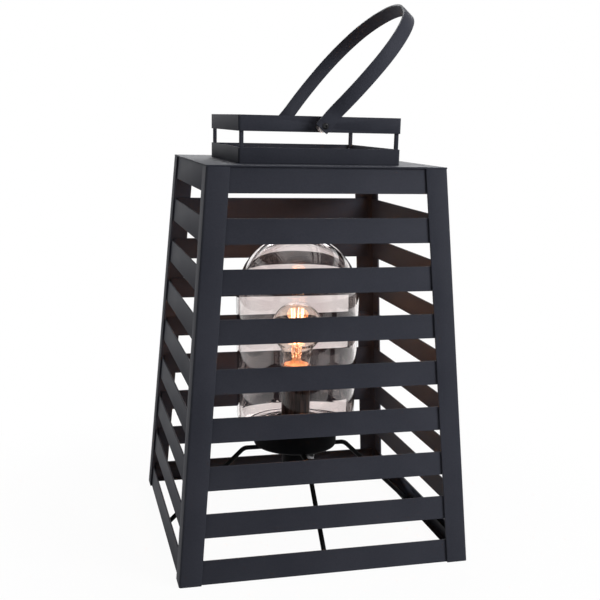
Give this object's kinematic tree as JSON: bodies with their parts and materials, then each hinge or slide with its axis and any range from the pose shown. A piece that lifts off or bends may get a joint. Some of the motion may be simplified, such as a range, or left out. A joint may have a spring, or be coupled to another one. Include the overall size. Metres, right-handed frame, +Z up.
{
  "type": "lantern table lamp",
  "caption": "Tapered steel lantern table lamp with slatted sides, a swinging carry handle and a lift-out clear glass shade over a screw-in bulb.",
  "frame": {"origin": "on the ground, under the middle of the lamp", "axes": "+Z up, +Y towards the back, +X to the right; the handle rests swung over towards +X"},
  "size_m": [0.3, 0.3, 0.558],
  "materials": {
    "cage_powder": "matte powder coat, dark blue-grey",
    "black_powder": "satin black powder coat",
    "bare_steel": "turned bare steel",
    "black_rivet": "satin black rivet",
    "shade_glass": "clear blown glass",
    "bulb_glass": "thin clear glass",
    "cap_metal": "rolled screw cap",
    "filament_glow": "glowing warm sticks",
    "holder_black": "moulded black, half gloss",
    "porcelain": "unglazed porcelain",
    "zinc_steel": "bright zinc plate"
  },
  "bodies": {
    "root": {"post_front_left": "cage_powder", "post_front_right": "cage_powder", "post_back_right": "cage_powder", "post_back_left": "cage_powder", "slat_front_1": "cage_powder", "slat_front_2": "cage_powder", "slat_front_3": "cage_powder", "slat_front_4": "cage_powder", "slat_front_5": "cage_powder", "slat_front_6": "cage_powder", "slat_front_7": "cage_powder", "slat_front_8": "cage_powder", "slat_front_9": "cage_powder", "slat_right_1": "cage_powder", "slat_right_2": "cage_powder", "slat_right_3": "cage_powder", "slat_right_4": "cage_powder", "slat_right_5": "cage_powder", "slat_right_6": "cage_powder", "slat_right_7": "cage_powder", "slat_right_8": "cage_powder", "slat_right_9": "cage_powder", "slat_back_1": "cage_powder", "slat_back_2": "cage_powder", "slat_back_3": "cage_powder", "slat_back_4": "cage_powder", "slat_back_5": "cage_powder", "slat_back_6": "cage_powder", "slat_back_7": "cage_powder", "slat_back_8": "cage_powder", "slat_back_9": "cage_powder", "slat_left_1": "cage_powder", "slat_left_2": "cage_powder", "slat_left_3": "cage_powder", "slat_left_4": "cage_powder", "slat_left_5": "cage_powder", "slat_left_6": "cage_powder", "slat_left_7": "cage_powder", "slat_left_8": "cage_powder", "slat_left_9": "cage_powder", "top_plate": "cage_powder", "collar": "cage_powder", "rim": "cage_powder", "pillars": "cage_powder", "handle_spacers": "bare_steel", "handle_rivets": "black_rivet", "holder_body": "holder_black", "holder_insert": "porcelain", "dish": "black_powder", "hub": "black_powder", "stem_fasteners": "zinc_steel", "cord_gland": "black_powder", "leg_front": "black_powder", "leg_left": "black_powder", "leg_right": "black_powder"},
    "handle": {"handle": "cage_powder"},
    "shade": {"glass_shade": "shade_glass"},
    "bulb": {"bulb_envelope": "bulb_glass", "bulb_cap": "cap_metal", "bulb_filament": "filament_glow"}
  },
  "joints": [
    {"name": "handle_swing", "type": "hinge", "parent": "root", "child": "handle", "pos_m": [0, 0, 0.436], "axis": [0, 1, 0], "range_deg": [-140, 59]},
    {"name": "shade_lift", "type": "slide", "parent": "root", "child": "shade", "axis": [0, 0, 1], "range_m": [0, 0.37]},
    {"name": "bulb_lift", "type": "slide", "parent": "root", "child": "bulb", "axis": [0, 0, 1], "range_m": [0, 0.045]}
  ]
}
